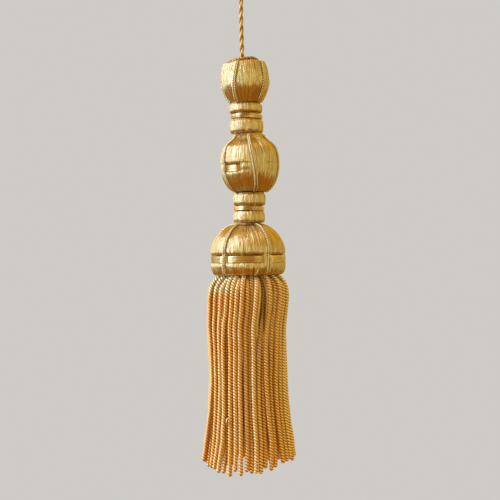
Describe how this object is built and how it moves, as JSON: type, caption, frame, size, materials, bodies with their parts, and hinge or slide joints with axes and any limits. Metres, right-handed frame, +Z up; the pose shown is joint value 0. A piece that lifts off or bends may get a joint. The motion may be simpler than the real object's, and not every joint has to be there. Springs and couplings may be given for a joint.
{
  "type": "curtain tieback tassel",
  "caption": "Golden hanging tassel: a looped twisted cord over floss-covered turned moulds, with a skirt of twisted bullion cords.",
  "frame": {"origin": "inside of the hanging loop's top, where a hook carries the tassel", "axes": "+Z up along the hanging cord; the pictured side faces -Y, with +X to its right"},
  "size_m": [0.0604, 0.0604, 0.3516],
  "materials": {
    "floss": "satin rayon floss laid straight over turned wood, golden yellow",
    "wound_floss": "satin rayon floss wound round, pale gold",
    "gimp": "fine two-ply metallic thread cords, pale gold",
    "twisted_cord": "two-ply twisted rayon cord, old gold",
    "bullion": "tightly twisted bullion cord, antique gold"
  },
  "bodies": {
    "root": {"bulb_mould": "floss", "ball_mould": "floss", "dome_mould": "floss", "upper_collar_a": "floss", "upper_collar_b": "floss", "lower_collar_a": "floss", "lower_collar_b": "floss", "upper_tie": "wound_floss", "lower_tie": "wound_floss", "ball_belt": "wound_floss", "dome_belt": "wound_floss", "bulb_gimp_1": "gimp", "bulb_gimp_2": "gimp", "bulb_gimp_3": "gimp", "bulb_gimp_4": "gimp", "bulb_gimp_5": "gimp", "ball_gimp_1": "gimp", "ball_gimp_2": "gimp", "ball_gimp_3": "gimp", "ball_gimp_4": "gimp", "ball_gimp_5": "gimp", "dome_gimp_1": "gimp", "dome_gimp_2": "gimp", "dome_gimp_3": "gimp", "dome_gimp_4": "gimp", "dome_gimp_5": "gimp", "hanging_cord": "twisted_cord", "hanging_loop": "twisted_cord", "loop_knot": "twisted_cord", "top_cord_ring": "twisted_cord", "bullion_skirt": "bullion"}
  },
  "joints": []
}
